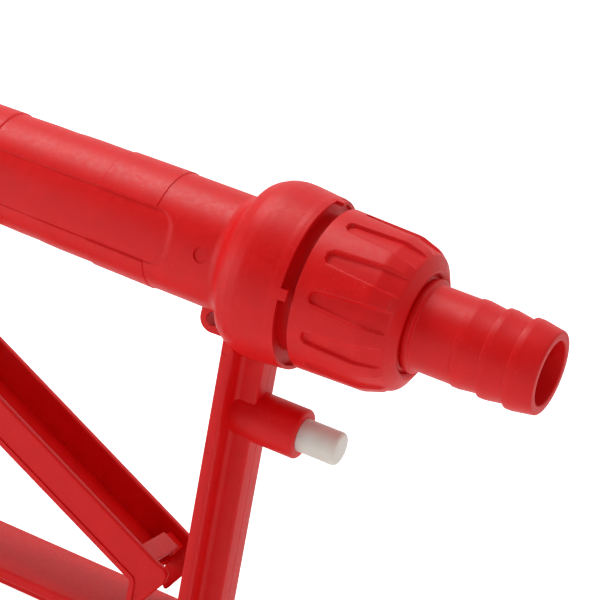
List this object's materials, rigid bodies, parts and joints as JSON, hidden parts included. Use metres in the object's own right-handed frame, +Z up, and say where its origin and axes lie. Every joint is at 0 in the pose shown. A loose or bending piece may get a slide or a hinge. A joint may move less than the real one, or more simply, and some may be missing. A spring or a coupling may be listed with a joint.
{
  "type": "fire hose nozzle",
  "caption": "Hand-held lever hose nozzle with a round grip barrel, D-shaped guard, squeeze lever, lock pin, fluted union nut and barbed hose tail.",
  "frame": {"origin": "centre of the hose tail's mouth, on the barrel's axis", "axes": "+X along the barrel towards the spray tip, +Z up, away from the guard and the lever; Y across"},
  "size_m": [0.274, 0.0524, 0.1515],
  "materials": {
    "red_moulding": "satin moulded, fine speckle",
    "white_acetal": "translucent off-white",
    "spring_steel": "bright drawn wire",
    "stainless": "turned",
    "brass": "turned",
    "black_acetal": "moulded",
    "seal_rubber": "smooth",
    "bumper_rubber": "matt",
    "mesh_steel": "perforated sheet"
  },
  "bodies": {
    "body": {"barrel_body": "red_moulding", "hand_guard": "red_moulding", "lanyard_eye": "red_moulding", "tail_washer": "seal_rubber", "inlet_strainer": "mesh_steel", "flow_straightener": "black_acetal", "lever_pivot_pin": "stainless", "pivot_clips": "spring_steel", "pivot_washers": "black_acetal", "valve_carrier": "black_acetal", "carrier_o_rings": "seal_rubber", "valve_seat": "brass", "spring_cap": "black_acetal", "poppet_spring": "spring_steel", "stem_gland": "brass", "stem_seals": "seal_rubber", "nozzle_adapter": "red_moulding", "adapter_o_ring": "seal_rubber", "sleeve_o_ring": "seal_rubber", "sleeve_ring": "spring_steel", "nozzle_tip": "brass", "swirl_insert": "black_acetal", "lock_pin_spring": "spring_steel"},
    "lever": {"lever": "red_moulding"},
    "valve": {"valve_stem": "stainless", "stem_foot": "black_acetal", "valve_poppet": "brass", "poppet_seal": "seal_rubber"},
    "lock_pin": {"lock_pin": "white_acetal", "lock_pin_clip": "spring_steel"},
    "union_nut": {"union_nut": "red_moulding"},
    "hose_tail": {"hose_tail": "red_moulding"},
    "spray_sleeve": {"spray_sleeve": "red_moulding", "tip_bumper": "bumper_rubber"}
  },
  "joints": [
    {"name": "lever_squeeze", "type": "hinge", "parent": "body", "child": "lever", "pos_m": [0.1905, 0, -0.072], "axis": [0, 1, 0], "range_deg": [0, 33.5], "stiffness_Nm_per_rad": 0.8, "springref_deg": -8.59},
    {"name": "valve_lift", "type": "slide", "parent": "body", "child": "valve", "axis": [0, 0, 1], "range_m": [0, 0.0027], "deforming": ["poppet_spring"]},
    {"name": "lock_pin_push", "type": "slide", "parent": "body", "child": "lock_pin", "axis": [1, 0, 0], "range_m": [0, 0.009], "stiffness_N_per_m": 300, "springref_m": -0.004, "deforming": ["lock_pin_spring"]},
    {"name": "union_nut_turn", "type": "hinge", "parent": "body", "child": "union_nut", "pos_m": [0.055, 0, 0], "axis": [1, 0, 0], "continuous": true},
    {"name": "hose_tail_swivel", "type": "hinge", "parent": "body", "child": "hose_tail", "pos_m": [0.02, 0, 0], "axis": [1, 0, 0], "continuous": true},
    {"name": "spray_sleeve_twist", "type": "hinge", "parent": "body", "child": "spray_sleeve", "pos_m": [0.24, 0, 0], "axis": [1, 0, 0], "range_deg": [0, 150]}
  ],
  "couplings": [
    {"joint": "valve_lift", "follows": "lever_squeeze", "m_per_rad": 0.0046}
  ]
}
